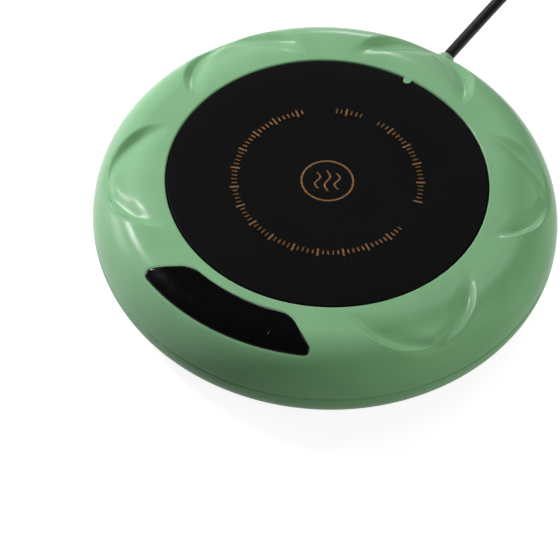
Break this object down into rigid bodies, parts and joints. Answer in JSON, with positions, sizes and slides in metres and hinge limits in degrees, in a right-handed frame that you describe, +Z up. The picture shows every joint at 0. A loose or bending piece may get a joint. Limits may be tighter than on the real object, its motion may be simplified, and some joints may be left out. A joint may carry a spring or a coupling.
{
  "type": "electric mug warmer",
  "caption": "Round electric cup warmer: a scooped ring-shaped housing with a sprung heating disc that sinks onto a switch, a touch panel and a coiled supply cord.",
  "frame": {"origin": "centre of the heating disc's axis on the table, at the underside of the rubber feet", "axes": "+Z up along the disc's axis, -Y towards the touch panel, +Y towards the cord's exit"},
  "size_m": [0.138, 0.2743, 0.031],
  "materials": {
    "shell": "satin gloss, sage green",
    "shell_base": "satin, sage green",
    "foot_rubber": "matte",
    "steel": "zinc plated",
    "spring_steel": "bright drawn wire and strip",
    "zinc_steel": "pressed sheet",
    "aluminium": "satin",
    "brass": "satin",
    "lens": "polished black",
    "disc": "black enamelled heating plate, fine matte",
    "tape": "double-sided tape",
    "board": "solder mask",
    "module_white": "moulded",
    "black_plastic": "moulded",
    "plunger_red": "moulded",
    "film": "polyimide heating film",
    "felt": "glass fibre felt",
    "probe": "epoxy bead",
    "wire_grey": "wire insulation",
    "wire_red": "wire insulation",
    "cord": "smooth black cable jacket",
    "tie": "hook and loop strap",
    "plug": "moulded overmould",
    "plug_steel": "nickel plated"
  },
  "bodies": {
    "housing": {"upper_shell": "shell", "base_cover": "shell_base", "foot_pads": "foot_rubber", "base_screws": "steel", "panel_lens": "lens", "panel_tape": "tape", "display_board": "board", "digit_module": "module_white", "touch_spring": "spring_steel", "display_screws": "steel", "ribbon_cable": "module_white", "ribbon_sockets": "module_white", "main_board": "board", "board_screws": "steel", "driver_chip": "black_plastic", "power_transistor": "black_plastic", "capacitors": "aluminium", "buzzer": "black_plastic", "wire_sockets": "module_white", "switch_case": "black_plastic", "switch_terminals": "brass", "switch_screws": "steel", "lever_pin": "steel", "switch_wires": "wire_grey", "return_springs": "spring_steel", "plate_leads": "wire_red", "cord_collar": "shell", "cord_inner": "cord", "cord_clamp": "black_plastic", "clamp_screws": "steel", "supply_wires": "wire_red", "power_cord": "cord", "cord_coil": "cord", "cord_tie": "tie", "plug_boot": "plug", "plug_body": "plug", "plug_shell": "plug_steel", "plug_tongue": "module_white", "plug_contacts": "brass"},
    "plate": {"heating_disc": "disc", "plate_carrier": "black_plastic", "heat_spreader": "aluminium", "heating_film": "film", "insulation_pad": "felt", "backing_plate": "zinc_steel", "backing_screws": "steel", "press_pin": "black_plastic", "thermistor": "probe", "thermal_fuse": "zinc_steel", "fuse_clip": "zinc_steel"},
    "lever": {"switch_lever": "spring_steel"},
    "plunger": {"switch_plunger": "plunger_red"}
  },
  "joints": [
    {"name": "plate_press", "type": "slide", "parent": "housing", "child": "plate", "axis": [0, 0, -1], "range_m": [0, 0.001], "stiffness_N_per_m": 600, "springref_m": -0.005, "deforming": ["return_springs", "plate_leads"]},
    {"name": "switch_lever_hinge", "type": "hinge", "parent": "housing", "child": "lever", "pos_m": [-0.0074, -0.014, 0.01635], "axis": [0, 1, 0], "range_deg": [0, 4.75]},
    {"name": "switch_plunger_slide", "type": "slide", "parent": "housing", "child": "plunger", "axis": [0, 0, -1], "range_m": [0, 0.00034]}
  ],
  "couplings": [
    {"joint": "switch_lever_hinge", "follows": "plate_press", "rad_per_m": 82},
    {"joint": "switch_plunger_slide", "follows": "plate_press", "ratio": 0.33}
  ]
}
